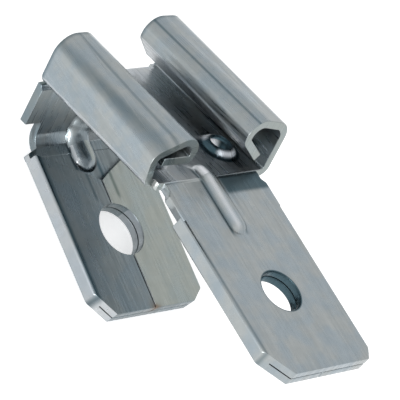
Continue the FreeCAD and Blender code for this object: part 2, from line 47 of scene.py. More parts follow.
LOG = logging.getLogger("adapter")
MM = 0.001
NODE = "spade_adapter"

# The receptacle's length, and the right stop dimple's place across and along its floor
RECEPTACLE_LENGTH_MM = 7.67
STOP_PLACE_MM = (2.1, 1.72)

# Where each stretch starts on the flat strip, in its millimetres, so that none meets another
LOWER_TAB_START = 20.0
UPPER_TAB_START = 40.0
DROP_START = 60.0
LEFT_EAR_MIDDLE = 80.0
RIGHT_EAR_MIDDLE = 95.0
EARS_FROM = 70.0

# Girth of a roll's round: its radius in millimetres, what the right roll adds, and off the rolls
GIRTH_RADIUS = 1.5
RIGHT_GIRTH = 20.0
NO_GIRTH = 9.0


class Zone(Enum):
    """Stretches of the strip, each with its own way to lay it out flat."""

    FLOOR = 0
    LOWER_TAB = 1
    UPPER_TAB = 2
    DROP = 3
    LEFT_EAR = 4
    RIGHT_EAR = 5


@dataclass(frozen=True)
class TinFinish:
    """Tin plate on brass: linear colours, shares from 0 to 1, and how fine its patterns are.

    Grain is counted per millimetre of the flat strip, clouds and mottle per metre. A span is
    the part of a pattern's range that is spread out. Frost is how much of the metal's mirror
    a painted highlight gives up, so that it stays bright beside dark surroundings.
    """

    tin: tuple[float, float, float] = (0.345, 0.38, 0.405)
    cool: tuple[float, float, float] = (0.30, 0.36, 0.395)
    warm: tuple[float, float, float] = (0.40, 0.41, 0.385)
    # Dark teal towards which tarnish and painted shade blend
    deep: tuple[float, float, float] = (0.03, 0.07, 0.09)
    # White for painted highlights and painted sheen
    highlight_white: tuple[float, float, float] = (0.90, 0.91, 0.95)
    bare_brass: tuple[float, float, float] = (0.45, 0.48, 0.33)
    stain: tuple[float, float, float] = (0.16, 0.10, 0.06)
    frost: float = 0.75
    fine_grain: float = 9.0
    broad_grain: float = 1.6
    cloud_scale: float = 900.0
    mottle_scale: float = 2600.0
    hue_span: tuple[float, float] = (0.35, 0.65)
    speck_span: tuple[float, float] = (0.3, 0.7)
    wear_span: tuple[float, float] = (0.2, 0.8)
    streak_depth: float = 0.14
    speck_depth: float = 0.06
    ragged_low: float = 0.8
    tin_share: float = 0.5
    roughness_low: float = 0.26
    roughness_high: float = 0.42
    bump_strength: float = 0.35
    bump_height: float = 0.004 * MM
    cloud_bump: float = 3.0


@dataclass(frozen=True)
class ZoneLook:
    """Share of tarnish and painted shade on one stretch's faces, and of tarnish and bare brass on
    its cut edges.
    """

    tarnish_and_shade: float = 0.0
    cut_dull: float = 0.0
    cut_bare: float = 0.0


@dataclass(frozen=True)
class LineMark:
    """A soft line on the strip: where its middle is, its half width and its share."""

    centre: float
    width: float
    share: float


@dataclass(frozen=True)
class RoundMark:
    """A ring or a disc on the strip: its middle, radius, softness and share."""

    centre: tuple[float, float]
    radius: float
    soft: float
    share: float


@dataclass(frozen=True)
class RollShape:
    """One end of a rolled ear: two corners and the middle of its section.

    Each is a distance from the middle of the floor and a height over its underside, in
    millimetres.
    """

    shoulder: tuple[float, float]
    crest: tuple[float, float]
    middle: tuple[float, float]


@dataclass(frozen=True)
class StripLayout:
    """How the folded strip lies, and the limits that part its stretches.

    The front bend's place and the lower tab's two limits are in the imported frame. The others
    are in the level frame of the receptacle, whose floor starts at the front bend.
    """

    receptacle_lean: float = math.radians(25)
    upper_tab_lean: float = math.radians(15)
    bend_y_mm: float = -0.538
    bend_z_mm: float = 6.351
    lower_tab_top_mm: float = 0.9
    lower_tab_end_mm: float = 4.35
    drop_top_mm: float = -0.1
    ear_front_mm: float = 0.05
    ear_inner_mm: float = 3.33
    ear_above_mm: float = 0.95
    left_rear: RollShape = RollShape((3.85, 2.66), (1.62, 2.60), (2.73, 1.90))
    left_front: RollShape = RollShape((4.18, 1.74), (1.35, 2.85), (2.77, 1.70))
    right_rear: RollShape = RollShape((3.81, 3.10), (1.42, 3.20), (2.62, 2.30))
    right_front: RollShape = RollShape((3.81, 2.86), (1.12, 3.42), (2.47, 2.30))


class MeshArrays:
    """A mesh's vertices, faces and edges as whole arrays."""

    def __init__(self, mesh: bpy.types.Mesh) -> None:
        """Read the mesh.

        Args:
            mesh: a welded, closed mesh.
        """
        self.points = self._read(mesh.vertices, "co", 3)
        self.normals = self._read(mesh.polygons, "normal", 3)
        self.centres = self._read(mesh.polygons, "center", 3)
        self.areas = self._read(mesh.polygons, "area", 1)
        counts = self._read(mesh.polygons, "loop_total", 1, np.int32)
        self.corner_points = self._read(mesh.loops, "vertex_index", 1, np.int32)
        corner_edges = self._read(mesh.loops, "edge_index", 1, np.int32)
        self.corner_faces = np.repeat(np.arange(len(counts)), counts)
        ends = self._read(mesh.edges, "vertices", 2, np.int32)
        self.edge_lengths = np.linalg.norm(
            self.points[ends[:, 0]] - self.points[ends[:, 1]], axis=1
        )

        # A closed mesh has two corners at every edge, one of each face that meets there
        order = np.argsort(corner_edges, kind="stable")
        self.edge_faces = self.corner_faces[order].reshape(-1, 2)

        # The corner after each one on its face, where the last is followed by the first
        ends_of_faces = np.cumsum(counts)
        following = np.arange(1, len(corner_edges) + 1)
        following[ends_of_faces - 1] = ends_of_faces - counts
        along = self.points[self.corner_points[following]] - self.points[self.corner_points]
        self.edge_runs = along[order[::2]]

    @staticmethod
    def _read(items: object, name: str, width: int, kind: type = np.float64) -> np.ndarray:
        """Read one property of every item.

        Args:
            items: vertices, edges, faces or corners.
            name: the property.
            width: how many numbers it has.
            kind: the numbers' type.

        Returns:
            One row per item, or a flat array for a width of one.
        """
        values = np.empty(len(items) * width, kind)
        items.foreach_get(name, values)
        return values.reshape(-1, width) if width > 1 else values

    def turns(self) -> np.ndarray:
        """Angle between the two faces of every edge, positive where the edge stands out.

        The angle is the arc cosine of the two normals' dot product. The edge stands out where
        the normals' cross product points the way in which the first face's outline runs.

        Returns:
            One signed angle in radians per edge.
        """
        first, second = (self.normals[faces] for faces in self.edge_faces.T)
        angle = np.arccos(np.clip(np.einsum("ij,ij->i", first, second), -1.0, 1.0))
        along = np.einsum("ij,ij->i", np.cross(first, second), self.edge_runs)
        return np.where(along > 0.0, angle, -angle)

    def regions(self, limit: float) -> np.ndarray:
        """Number the faces so that faces joined over edges below the limit share a number.

        Every face starts with its own number. The lowest number spreads over the flat edges,
        and each number is then replaced by the number of the face that it names, until nothing
        changes.

        Args:
            limit: the angle in radians from which an edge parts two regions.

        Returns:
            One region number per face.
        """
        joined = self.edge_faces[np.abs(self.turns()) < limit]
        numbers = np.arange(len(self.areas))
        while True:
            lowest = numbers[joined].min(axis=1)
            spread = numbers.copy()
            np.minimum.at(spread, joined[:, 0], lowest)
            np.minimum.at(spread, joined[:, 1], lowest)
            spread = spread[spread]
            if np.array_equal(spread, numbers):
                return numbers
            numbers = spread

    def mean_widths(self, regions: np.ndarray) -> np.ndarray:
        """Mean width of the region that each face is in: twice its area over its outline.

        Args:
            regions: the region number of every face.

        Returns:
            One width per face.
        """
        area = np.bincount(regions, self.areas, len(regions))
        outline = np.zeros(len(regions))
        sides = regions[self.edge_faces]
        rim = sides[:, 0] != sides[:, 1]
        for column in (0, 1):
            np.add.at(outline, sides[rim, column], self.edge_lengths[rim])
        return 2.0 * area[regions] / np.maximum(outline[regions], 1e-9)


class StripMap:
    """Says of every face which stretch of the strip it is, and lays each stretch out flat."""

    def __init__(self, layout: StripLayout, arrays: MeshArrays) -> None:
        """Turn the mesh into the level frame of the receptacle.

        Args:
            layout: the strip's angles and places.
            arrays: the mesh.
        """
        self.layout = layout
        self.arrays = arrays
        self.level_points = self._level(arrays.points)
        self.level_centres = self._level(arrays.centres)
        self.zones = self._zones()

    def _level(self, points: np.ndarray) -> np.ndarray:
        """Turn points so that the receptacle lies level: shifted, then turned back about X.

        Args:
            points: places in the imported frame, in metres.

        Returns:
            The places in the level frame, in millimetres.
        """
        layout = self.layout
        y = points[:, 1] / MM - layout.bend_y_mm
        z = points[:, 2] / MM - layout.bend_z_mm
        cosine, sine = math.cos(layout.receptacle_lean), math.sin(layout.receptacle_lean)
        return np.stack(
            [points[:, 0] / MM, y * cosine - z * sine, y * sine + z * cosine], axis=1
        )

    def _zones(self) -> np.ndarray:
        """Find the stretch that every face is in, from where its centre lies.

        The first limit that holds decides, in the order lower tab, upper tab, drop and ears.
        What is left is the floor.

        Returns:
            One zone number per face.
        """
        layout = self.layout
        row = self.arrays.centres / MM
        x, y, z = self.level_centres.T
        off_floor = (z > layout.ear_above_mm) | (np.abs(x) > layout.ear_inner_mm)
        in_ear = (y > layout.ear_front_mm) & off_floor
        return np.select(
            [
                (row[:, 2] < layout.lower_tab_top_mm) & (row[:, 1] < layout.lower_tab_end_mm),
                y < 0.0,
                z < layout.drop_top_mm,
                in_ear & (x < 0.0),
                in_ear,
            ],
            [
                Zone.LOWER_TAB.value,
                Zone.UPPER_TAB.value,
                Zone.DROP.value,
                Zone.LEFT_EAR.value,
                Zone.RIGHT_EAR.value,
            ],
            Zone.FLOOR.value,
        )

    def _girth(self, rear: RollShape, front: RollShape, side: float) -> np.ndarray:
        """Place round a roll: 1 at its shoulder, 0 on top of its middle, -1 at its crest.

        The roll's middle and both corners are taken between its rear and its front end. The
        angle about the middle, from straight up, is divided by the shoulder's angle on the
        outer side and by the crest's angle on the inner side.

        Args:
            rear: the roll's section at its rear end.
            front: the roll's section at its front end.
            side: 1 for the right ear, -1 for the left one.

        Returns:
            One value per vertex.
        """
        x, y, z = self.level_points.T
        forward = 1.0 - np.clip(y / RECEPTACLE_LENGTH_MM, 0.0, 1.0)

        def between(part: str) -> tuple[np.ndarray, np.ndarray]:
            """One corner of the section, between its rear and its front place."""
            start, end = getattr(rear, part), getattr(front, part)
            return tuple(a + (b - a) * forward for a, b in zip(start, end))

        middle_x, middle_z = between("middle")
        shoulder_x, shoulder_z = between("shoulder")
        crest_x, crest_z = between("crest")
        angle = np.arctan2(side * x - middle_x, z - middle_z)
        outer = np.arctan2(shoulder_x - middle_x, shoulder_z - middle_z)
        inner = np.arctan2(middle_x - crest_x, crest_z - middle_z)
        return np.where(angle >= 0.0, angle / outer, angle / inner)

    def places(self) -> np.ndarray:
        """Place of every corner on the flat strip: across it, along it, and round a roll.

        Across and along are in millimetres. The floor gives x and y. The upper tab gives x and
        the distance from its bend. The lower tab gives x and how far forward of its hole it
        lies. The drop gives x and its depth, and an ear gives its girth times the roll's
        radius, with y along it. Each stretch is shifted to its own start.

        Returns:
            One row of three values per face corner.
        """
        layout = self.layout
        x, y, z = self.level_points.T
        row_y = self.arrays.points[:, 1] / MM
        nowhere = np.full(len(x), NO_GIRTH)
        tab_run = -(y * math.cos(layout.upper_tab_lean) + z * math.sin(layout.upper_tab_lean))
        left = self._girth(layout.left_rear, layout.left_front, -1.0)
        right = self._girth(layout.right_rear, layout.right_front, 1.0)
        tables = {
            Zone.FLOOR: (x, y, nowhere),
            Zone.LOWER_TAB: (x, LOWER_TAB_START - row_y, nowhere),
            Zone.UPPER_TAB: (x, UPPER_TAB_START + tab_run, nowhere),
            Zone.DROP: (x, DROP_START - z, nowhere),
            Zone.LEFT_EAR: (LEFT_EAR_MIDDLE + GIRTH_RADIUS * left, y, left),
            Zone.RIGHT_EAR: (RIGHT_EAR_MIDDLE + GIRTH_RADIUS * right, y, right + RIGHT_GIRTH),
        }
        stacked = np.stack([np.stack(tables[zone], axis=1) for zone in Zone])
        return stacked[self.zones[self.arrays.corner_faces], self.arrays.corner_points]


# How much tarnish and painted shade, and how much bare brass, each stretch has; the drop's darker
# tone is painted shade under the receptacle
ZONE_LOOKS = {
    Zone.FLOOR: ZoneLook(tarnish_and_shade=0.05, cut_dull=0.1, cut_bare=0.15),
    Zone.LOWER_TAB: ZoneLook(cut_dull=0.35),
    Zone.UPPER_TAB: ZoneLook(),
    Zone.DROP: ZoneLook(tarnish_and_shade=0.22, cut_dull=0.45),
    Zone.LEFT_EAR: ZoneLook(tarnish_and_shade=0.05, cut_dull=0.35, cut_bare=0.1),
    Zone.RIGHT_EAR: ZoneLook(tarnish_and_shade=0.13, cut_bare=0.55),
}


@dataclass
class FoldedStrip:
    """The whole adapter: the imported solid's faces, welded, with rounded edges and its finish."""

    layout: StripLayout = field(default_factory=StripLayout)
    # Painted shade: the lower tab's left flap is darkened against its right one
    left_flap_shade: float = 0.47
    right_flap_dull: float = 0.13
    right_flap_bare: float = 0.18
    bend_step_dull: float = 0.5
    tip_dull: float = 0.5
    flap_foot: float = 0.6 * MM
    # Painted highlight on the lower tab's left folded side, and painted sheen that lightens the
    # floor and the rolls' undersides
    fold_side_highlight: float = 0.3
    channel_painted_light: float = 0.27
    facing_up: float = 0.9
    facing_out: float = 0.7
    facing_forward: float = 0.5
    facing_down: float = 0.3
    weld_gap: float = 1e-7
    flat_angle: float = math.radians(0.5)
    rim_angle: float = math.radians(65)
    edge_angle: float = math.radians(35)
    edge_round: float = 0.03 * MM
    edge_steps: int = 2
    cut_width: float = 0.47 * MM
    flat_weight: int = 60

    def build(self, node: bpy.types.Object, material: bpy.types.Material) -> bpy.types.Object:
        """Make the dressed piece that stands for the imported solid.

        Args:
            node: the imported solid.
            material: the tin finish.

        Returns:
            The finished piece.
        """
        mesh = self._weld(node.data)
        arrays = MeshArrays(mesh)
        self._write_attributes(mesh, arrays)
        self._write_edge_weights(mesh, arrays)
        mesh.materials.clear()
        mesh.materials.append(material)
        piece = bpy.data.objects.new("folded_strip", mesh)
        bpy.context.scene.collection.objects.link(piece)
        self._round_edges(piece)
        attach(piece, "root")
        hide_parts(NODE)
        return piece

    def _weld(self, source: bpy.types.Mesh) -> bpy.types.Mesh:
        """Join the solid's loose triangles and merge those that lie in one plane.

        Args:
            source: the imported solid's mesh.

        Returns:
            A closed mesh of flat faces.
        """
        mesh = bpy.data.meshes.new("folded_strip")
        work = bmesh.new()
        work.from_mesh(source)
        bmesh.ops.remove_doubles(work, verts=work.verts, dist=self.weld_gap)
        bmesh.ops.dissolve_limit(
            work, angle_limit=self.flat_angle, verts=work.verts, edges=work.edges
        )
        work.to_mesh(mesh)
        work.free()
        if mesh.attributes.get("custom_normal"):
            mesh.attributes.remove(mesh.attributes["custom_normal"])
        mesh.polygons.foreach_set("use_smooth", np.ones(len(mesh.polygons), bool))
        return mesh

    def _write_attributes(self, mesh: bpy.types.Mesh, arrays: MeshArrays) -> None:
        """Store the flat strip places and the finish's shares as attributes.

        Args:
            mesh: the welded mesh.
            arrays: the same mesh as arrays.
        """
        strip_map = StripMap(self.layout, arrays)
        places = mesh.attributes.new("strip_place", "FLOAT_VECTOR", "CORNER")
        places.data.foreach_set("vector", strip_map.places().ravel())
        for name, shares in self._shares(strip_map.zones, arrays).items():
            attribute = mesh.attributes.new(name, "FLOAT", "FACE")
            attribute.data.foreach_set("value", shares)

    def _shares(self, zones: np.ndarray, arrays: MeshArrays) -> dict[str, np.ndarray]:
        """Shares of tarnish and painted shade, of painted sheen and of bare brass on every face.

        A face whose region is narrower than a little over the sheet's gauge is a cut edge. The
        lower tab's flaps and tip and the step at the front of the floor have shares of their
        own; the left flap's darker share is painted shade. The lower tab's left folded side gets
        a painted highlight, and the floor and the underside of both rolls a painted sheen.

        Args:
            zones: the zone of every face.
            arrays: the mesh.

        Returns:
            The three shares under the names that the finish reads.
        """
        looks = [ZONE_LOOKS[zone] for zone in Zone]
        cut = arrays.mean_widths(arrays.regions(self.rim_angle)) < self.cut_width
        plain = np.array([look.tarnish_and_shade for look in looks])[zones]
        cut_dull = np.array([look.cut_dull for look in looks])[zones]
        cut_bare = np.array([look.cut_bare for look in looks])[zones]
        aside, ahead, upward = arrays.normals.T
        lower = zones == Zone.LOWER_TAB.value
        floor = zones == Zone.FLOOR.value
        ear = (zones == Zone.LEFT_EAR.value) | (zones == Zone.RIGHT_EAR.value)
        flap = lower & (upward > self.facing_up)
        left = flap & ((arrays.centres[:, 0] < 0.0) | (arrays.centres[:, 2] < self.flap_foot))
        right = flap & ~left
        tip = lower & (ahead < -self.facing_out)
        fold = lower & (aside < -self.facing_out)
        channel = floor | (ear & (upward < -self.facing_down))
        step = floor & (ahead < -self.facing_forward)
        # Tarnish and painted shade per face; the left flap's darker share is painted shade
        tarnish_and_shade = np.select(
            [left, right, tip, step, cut],
            [
                self.left_flap_shade,
                self.right_flap_dull,
                self.tip_dull,
                self.bend_step_dull,
                cut_dull,
            ],
            plain,
        )
        # Painted highlight on the fold side and painted sheen in the channel
        painted_sheen = np.select([fold, channel], [self.fold_side_highlight, self.channel_painted_light], 0.0)
        bare = np.select([right, cut], [self.right_flap_bare, cut_bare], 0.0)
        return {"tarnish_and_shade": tarnish_and_shade, "painted_sheen": painted_sheen, "bare": bare}

    def _write_edge_weights(self, mesh: bpy.types.Mesh, arrays: MeshArrays) -> None:
        """Mark the sharp edges that stand out."""
        weights = mesh.attributes.new("rounded", "FLOAT", "EDGE")
        weights.data.foreach_set("value", (arrays.turns() > self.edge_angle).astype(float))

    def _round_edges(self, piece: bpy.types.Object) -> None:
        """Round the marked edges and even out the normals, so that flat faces look flat.

        Args:
            piece: the piece that gets both modifiers.
        """
        bevel = piece.modifiers.new("rounding", "BEVEL")
        bevel.limit_method = "WEIGHT"
        bevel.edge_weight = "rounded"
        bevel.width = self.edge_round
        bevel.segments = self.edge_steps
        bevel.use_clamp_overlap = False
        even = piece.modifiers.new("even_normals", "WEIGHTED_NORMAL")
        even.mode = "FACE_AREA"
        even.weight = self.flat_weight


class NodeSheet:
    """A node tree being filled in, from left to right."""

    def __init__(self, tree: bpy.types.NodeTree) -> None:
        """Start on a given tree."""
        self.tree = tree

    def node(self, kind: str, **settings: object) -> bpy.types.Node:
        """Add a node.

        Args:
            kind: the node's type.
            settings: its options.

        Returns:
            The node.
        """
        made = self.tree.nodes.new(kind)
        for name, value in settings.items():
            setattr(made, name, value)
        return made

    def put(self, socket: bpy.types.NodeSocket, value: object) -> None:
        """Give a socket its value.

        Args:
            socket: the socket.
            value: a number, a colour, a place or another node's output.
        """
        if isinstance(value, bpy.types.NodeSocket):
            self.tree.links.new(value, socket)
        else:
            socket.default_value = value

    def math(self, operation: str, *values: object, clamp: bool = False) -> bpy.types.NodeSocket:
        """Add one arithmetic step.

        Args:
            operation: what is done.
            values: numbers or sockets.
            clamp: whether the result is kept from 0 to 1.

        Returns:
            The result.
        """
        made = self.node("ShaderNodeMath", operation=operation, use_clamp=clamp)
        for socket, value in zip(made.inputs, values):
            self.put(socket, value)
        return made.outputs[0]

    def distance(self, first: object, second: object) -> bpy.types.NodeSocket:
        """Measure how far two places are apart.

        Args:
            first: one place.
            second: the other place.

        Returns:
            The distance.
        """
        made = self.node("ShaderNodeVectorMath", operation="DISTANCE")
        self.put(made.inputs[0], first)
        self.put(made.inputs[1], second)
        return made.outputs["Value"]

    def noise(self, place: object, scale: float, detail: float) -> bpy.types.NodeSocket:
        """Add smooth noise.

        Args:
            place: where it is read.
            scale: how many waves it has per unit of length.
            detail: how many finer layers it has.

        Returns:
            A value from 0 to 1.
        """
        made = self.node("ShaderNodeTexNoise")
        self.put(made.inputs["Vector"], place)
        made.inputs["Scale"].default_value = scale
        made.inputs["Detail"].default_value = detail
        return made.outputs["Fac"]

    def ramp(
        self,
        value: object,
        low: object,
        high: object,
        out_low: object = 0.0,
        out_high: object = 1.0,
    ) -> bpy.types.NodeSocket:
        """Spread a range smoothly over another range.

        Args:
            value: what is spread.
            low: where the first range starts.
            high: where the first range ends.
            out_low: what the result is at and below the start.
            out_high: what the result is at and above the end.

        Returns:
            The spread value.
        """
        made = self.node("ShaderNodeMapRange", interpolation_type="SMOOTHSTEP")
        for socket, entry in zip(made.inputs, (value, low, high, out_low, out_high)):
            self.put(socket, entry)
        return made.outputs["Result"]

    def mix(self, amount: object, first: object, second: object) -> bpy.types.NodeSocket:
        """Blend two colours.

        Args:
            amount: the share of the second colour.
            first: one colour.
            second: the other colour.

        Returns:
            The blended colour.
        """
        made = self.node("ShaderNodeMix", data_type="RGBA")
        colours = [socket for socket in made.inputs if socket.type == "RGBA"]
        self.put(made.inputs[0], amount)
        self.put(colours[0], first)
        self.put(colours[1], second)
        return next(socket for socket in made.outputs if socket.type == "RGBA")


class NodeGroup(NodeSheet):
    """A shared effect with named inputs and outputs."""

    def __init__(self, name: str, inputs: dict[str, str], outputs: dict[str, str]) -> None:
        """Make the group's sockets.

        Args:
            name: what the group is called.
            inputs: name and kind of each input.
            outputs: name and kind of each output.
        """
        super().__init__(bpy.data.node_groups.new(name, "ShaderNodeTree"))
        for direction, sockets in (("INPUT", inputs), ("OUTPUT", outputs)):
            for label, kind in sockets.items():
                self.tree.interface.new_socket(
                    label, in_out=direction, socket_type="NodeSocket" + kind
                )
        self.inputs = self.node("NodeGroupInput").outputs
        self.outputs = self.node("NodeGroupOutput").inputs

    def place_in(self, sheet: NodeSheet, **values: object) -> bpy.types.Node:
        """Put the group into a material.

        Args:
            sheet: the material's nodes.
            values: the group's inputs by name.

        Returns:
            The node that holds the group.
        """
        made = sheet.node("ShaderNodeGroup", node_tree=self.tree)
        for label, value in values.items():
            sheet.put(made.inputs[label], value)
        return made


def drawn_streaks(stretch: float = 20.0) -> NodeGroup:
    """Fine streaks along the strip, as drawing and rolling leave them.

    Noise is stretched along the strip: its place is scaled by the fineness across, and by the
    fineness over the stretch along.

    Args:
        stretch: how many times longer than wide a streak is.

    Returns:
        The group, which gives a mask from 0 to 1.
    """
    group = NodeGroup("drawn_streaks", {"Place": "Vector", "Fineness": "Float"}, {"Mask": "Float"})
    split = group.node("ShaderNodeSeparateXYZ")
    group.put(split.inputs[0], group.inputs["Place"])
    across = group.math("MULTIPLY", split.outputs["X"], group.inputs["Fineness"])
    slow = group.math("MULTIPLY", group.inputs["Fineness"], 1.0 / stretch)
    along = group.math("MULTIPLY", split.outputs["Y"], slow)
    joined = group.node("ShaderNodeCombineXYZ")
    group.put(joined.inputs["X"], across)
    group.put(joined.inputs["Y"], along)
    grain = group.noise(joined.outputs[0], scale=1.0, detail=4.0)
    group.put(group.outputs["Mask"], group.ramp(grain, low=0.35, high=0.68))
    return group


def soft_band() -> NodeGroup:
    """A soft band in one value: 1 at its centre, 0 from its width on.

    Returns:
        The group.
    """
    group = NodeGroup(
        "soft_band", {"Value": "Float", "Centre": "Float", "Width": "Float"}, {"Mask": "Float"}
    )
    away = group.math(
        "ABSOLUTE", group.math("SUBTRACT", group.inputs["Value"], group.inputs["Centre"])
    )
    group.put(group.outputs["Mask"], group.ramp(away, 0.0, group.inputs["Width"], 1.0, 0.0))
    return group


def spot() -> NodeGroup:
    """A ragged round spot about a point: the distance is shifted by noise before it fades.

    Returns:
        The group, which gives a mask from 0 to 1.
    """
    group = NodeGroup(
        "spot",
        {"Place": "Vector", "Centre": "Vector", "Radius": "Float", "Ragged": "Float"},
        {"Mask": "Float"},
    )
    reach = group.distance(group.inputs["Place"], group.inputs["Centre"])
    shift = group.math("SUBTRACT", group.inputs["Ragged"], 0.5)
    rough = group.math("MULTIPLY_ADD", shift, group.inputs["Radius"], reach)
    group.put(group.outputs["Mask"], group.ramp(rough, 0.0, group.inputs["Radius"], 1.0, 0.0))
    return group


@dataclass(frozen=True)
class StripMarks:
    """Where the marks lie on the flat strip, in its millimetres and in roll girths.

    A stretch is the two places along the strip between which its lines run. The stain's place
    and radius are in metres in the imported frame.
    """

    # Painted dark reflections along the rolls; the first drifts round the left roll
    left_roll_drift: float = 0.73
    left_roll_reflection: LineMark = LineMark(1.35, 0.42, 0.5)
    roll_reflection_lines: tuple[LineMark, ...] = (
        LineMark(0.07, 0.22, 0.5),
        LineMark(RIGHT_GIRTH - 0.95, 0.1, 0.75),
    )
    ear_rear: LineMark = LineMark(RECEPTACLE_LENGTH_MM, 0.25, 0.6)
    painted_shade_stretches: dict[tuple[float, float], tuple[LineMark, ...]] = field(
        default_factory=lambda: {
            # Painted shade along both sides of the upper rib, on its tab and on the floor
            (UPPER_TAB_START - 0.1, UPPER_TAB_START + 2.9): (
                LineMark(-0.74, 0.15, 0.8),
                LineMark(0.08, 0.2, 0.75),
            ),
            (-0.1, 0.6): (LineMark(-0.74, 0.15, 0.8), LineMark(0.08, 0.2, 0.75)),
            # Painted shade along both sides of the lower rib
            (LOWER_TAB_START - 5.0, LOWER_TAB_START - 1.5): (
                LineMark(-0.72, 0.16, 0.6),
                LineMark(0.72, 0.18, 0.8),
            ),
            # Painted shade in the left folds of the upper and the lower tab
            (UPPER_TAB_START + 2.9, UPPER_TAB_START + 10.5): (LineMark(-3.05, 0.12, 0.45),),
            (LOWER_TAB_START - 4.5, LOWER_TAB_START + 4.0): (LineMark(-3.1, 0.22, 0.75),),
        }
    )
    # Painted highlight along the upper rib's crest
    painted_highlight_stretches: dict[tuple[float, float], tuple[LineMark, ...]] = field(
        default_factory=lambda: {
            (UPPER_TAB_START - 0.1, UPPER_TAB_START + 2.7): (LineMark(-0.42, 0.2, 0.35),),
            (-0.1, 0.5): (LineMark(-0.42, 0.2, 0.6),),
        }
    )
    # Painted shade on the upper tab's hole wall and over the right stop dimple
    painted_shade_rounds: tuple[RoundMark, ...] = (
        RoundMark((0.0, UPPER_TAB_START + 5.95), 1.05, 0.06, 0.9),
        RoundMark(STOP_PLACE_MM, 0.95, 0.15, 0.95),
    )
    # Painted highlights on the stop dimple's rims, and a painted glint on the floor behind it
    painted_highlight_rims: tuple[RoundMark, ...] = (RoundMark(STOP_PLACE_MM, 0.7, 0.2, 0.95),)
    stop_glint: tuple[LineMark, LineMark] = (
        LineMark(STOP_PLACE_MM[0], 1.0, 1.0),
        LineMark(STOP_PLACE_MM[1] + 0.78, 0.24, 1.0),
    )
    rim_span: tuple[float, float] = (0.45, 0.9)
    bend_shade: float = 0.85
    shade_across: tuple[float, float] = (0.25, 0.55)
    shade_along: tuple[float, float] = (UPPER_TAB_START - 0.1, UPPER_TAB_START + 0.85)
    shade_soft: float = 0.12
    stretch_soft: float = 0.2
    stain_place: tuple[float, float, float] = (0.07 * MM, -3.83 * MM, 0.7 * MM)
    stain_radius: float = 0.5 * MM
    stain_share: float = 0.8


